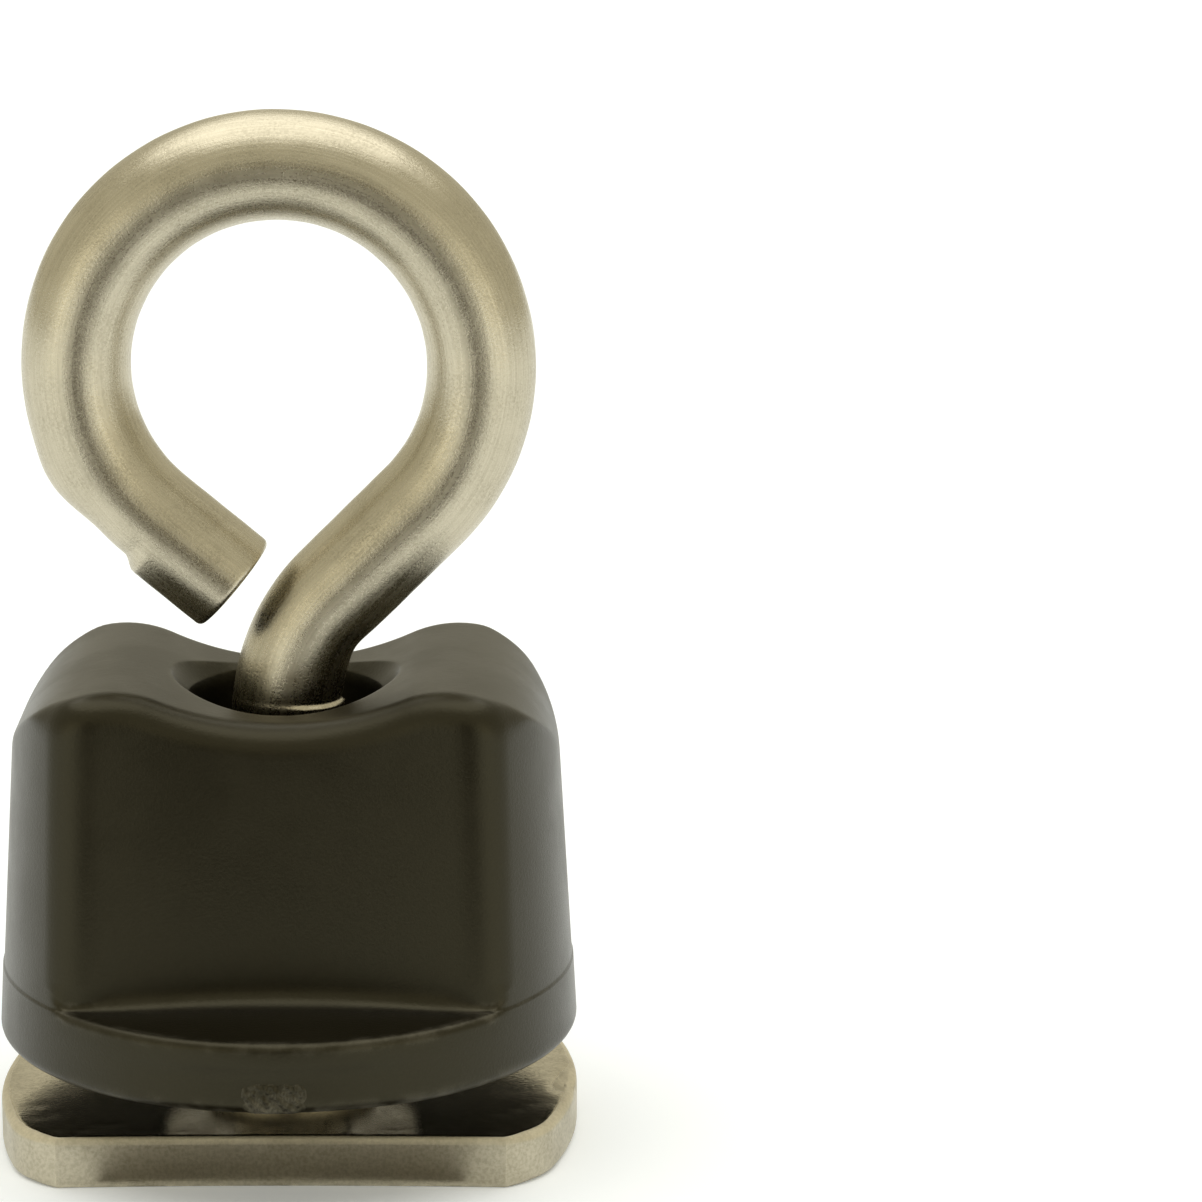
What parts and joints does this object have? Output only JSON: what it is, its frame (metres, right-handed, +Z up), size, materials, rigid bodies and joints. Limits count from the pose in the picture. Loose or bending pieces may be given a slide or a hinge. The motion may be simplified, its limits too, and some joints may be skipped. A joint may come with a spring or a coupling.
{
  "type": "track-mount tie-down eye",
  "caption": "Open bent-rod eye on a T-slot rail plate, clamped by a black moulded screw knob that runs on the rod's threaded shank.",
  "frame": {"origin": "on the shank's axis, at the underside of the track plate", "axes": "+Z up the shank towards the eye, +X along the plate's length and across the eye, so +Y looks through the eye"},
  "size_m": [0.0318, 0.0318, 0.0564],
  "materials": {
    "eye_steel": "tumbled stainless rod with lengthwise draw lines and dull mottling",
    "plate_steel": "satin stamped stainless with tumbled edges",
    "washer_steel": "satin stainless",
    "knob_plastic": "satin black moulded plastic, faint flow texture and scuffs on its corners",
    "insert_steel": "machined stainless"
  },
  "bodies": {
    "base": {"eye_bolt": "eye_steel", "track_plate": "plate_steel"},
    "washer": {"spacer_washer": "washer_steel"},
    "knob": {"knob_body": "knob_plastic", "knob_insert": "insert_steel"}
  },
  "joints": [
    {"name": "knob_turn", "type": "hinge", "parent": "base", "child": "washer", "pos_m": [0, 0, 0.0038], "axis": [0, 0, 1], "range_deg": [-405, 855]},
    {"name": "knob_travel", "type": "slide", "parent": "washer", "child": "knob", "axis": [0, 0, 1], "range_m": [-0.00145, 0.00303]}
  ],
  "couplings": [
    {"joint": "knob_travel", "follows": "knob_turn", "m_per_rad": 0.00020213}
  ]
}
